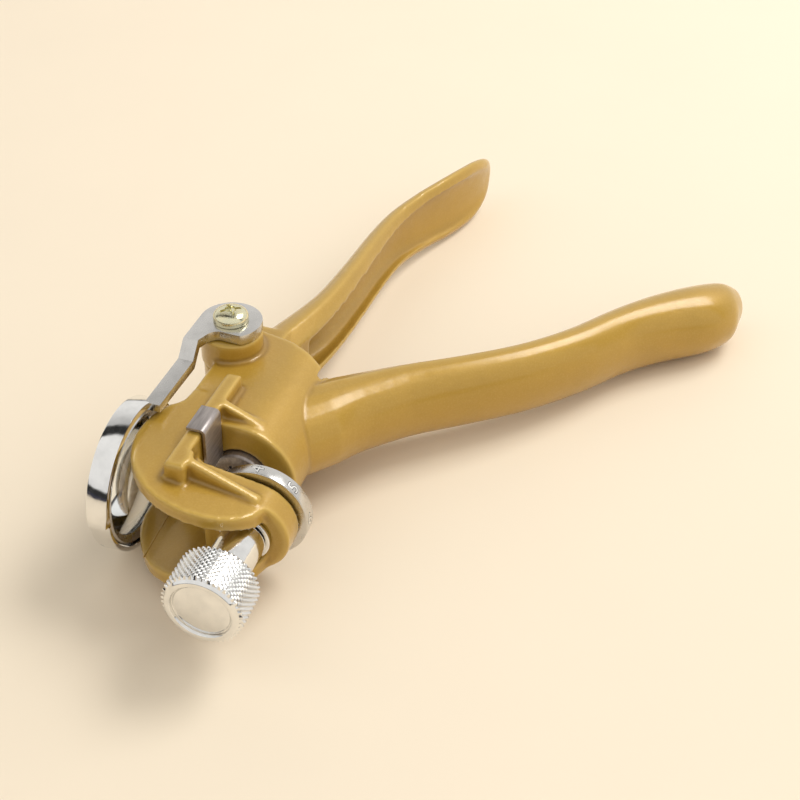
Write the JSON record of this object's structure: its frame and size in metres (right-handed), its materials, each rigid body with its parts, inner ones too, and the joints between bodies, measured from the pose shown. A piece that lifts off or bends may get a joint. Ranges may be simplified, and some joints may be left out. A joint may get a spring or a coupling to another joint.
{
  "type": "saw set",
  "caption": "Pistol-grip saw set: cast body with fixed handle, squeeze lever, spring plunger and hammer, turning anvil dial with clamp knob, and a magnifier that swings out.",
  "frame": {"origin": "bottom centre of the tool's bounding box, with the tool lying on its side", "axes": "+Z parallel to the pivot screw, up from the table; X along the plunger, with the knob towards -X and the handle tips towards +X; +Y towards the magnifier's side"},
  "size_m": [0.1704, 0.1052, 0.0344],
  "materials": {
    "bronze_paint": "satin gold-bronze paint on a fine-grained die casting",
    "chrome": "bright chrome plating",
    "steel": "plain hardened steel, matt",
    "spring_steel": "oiled spring wire",
    "yellow_zinc": "yellow-passivated zinc plating",
    "glass": "clear polished glass"
  },
  "bodies": {
    "frame": {"body_casting": "bronze_paint", "pivot_pin": "steel", "pivot_circlip": "spring_steel", "guide_screw": "steel", "return_spring": "spring_steel", "tooth_rest_upper": "steel", "tooth_rest_lower": "steel", "magnifier_screw": "yellow_zinc"},
    "lever": {"squeeze_lever": "bronze_paint"},
    "plunger": {"plunger_sleeve": "steel", "hammer_cross_pin": "steel", "hammer_spring": "spring_steel"},
    "hammer": {"hammer": "steel"},
    "dial": {"anvil_dial": "chrome"},
    "knob": {"clamp_knob": "chrome", "knob_washer": "chrome"},
    "magnifier": {"magnifier_arm": "chrome", "lens_rim": "chrome", "magnifier_lens": "glass", "lens_snap_wire": "spring_steel"}
  },
  "joints": [
    {"name": "lever_squeeze", "type": "hinge", "parent": "frame", "child": "lever", "pos_m": [-0.02605, 0.04316, 0.0148], "axis": [0, 0, -1], "range_deg": [0, 22], "stiffness_Nm_per_rad": 0.6, "springref_deg": -14.32},
    {"name": "plunger_slide", "type": "slide", "parent": "frame", "child": "plunger", "axis": [-1, 0, 0], "range_m": [0, 0.0036], "deforming": ["return_spring"]},
    {"name": "hammer_slide", "type": "slide", "parent": "frame", "child": "hammer", "axis": [-1, 0, 0], "range_m": [0, 0.0044], "deforming": ["hammer_spring"]},
    {"name": "dial_turn", "type": "hinge", "parent": "frame", "child": "dial", "pos_m": [-0.05745, 0.02456, 0.0148], "axis": [1, 0, 0], "continuous": true},
    {"name": "knob_turn", "type": "hinge", "parent": "frame", "child": "knob", "pos_m": [-0.08005, 0.02456, 0.0148], "axis": [1, 0, 0], "continuous": true},
    {"name": "magnifier_swing", "type": "hinge", "parent": "frame", "child": "magnifier", "pos_m": [-0.02605, 0.04316, 0.0308], "axis": [0, 0, -1], "range_deg": [0, 130]}
  ],
  "couplings": [
    {"joint": "hammer_slide", "follows": "lever_squeeze", "m_per_rad": 0.0113},
    {"joint": "plunger_slide", "follows": "lever_squeeze", "m_per_rad": 0.0092}
  ]
}
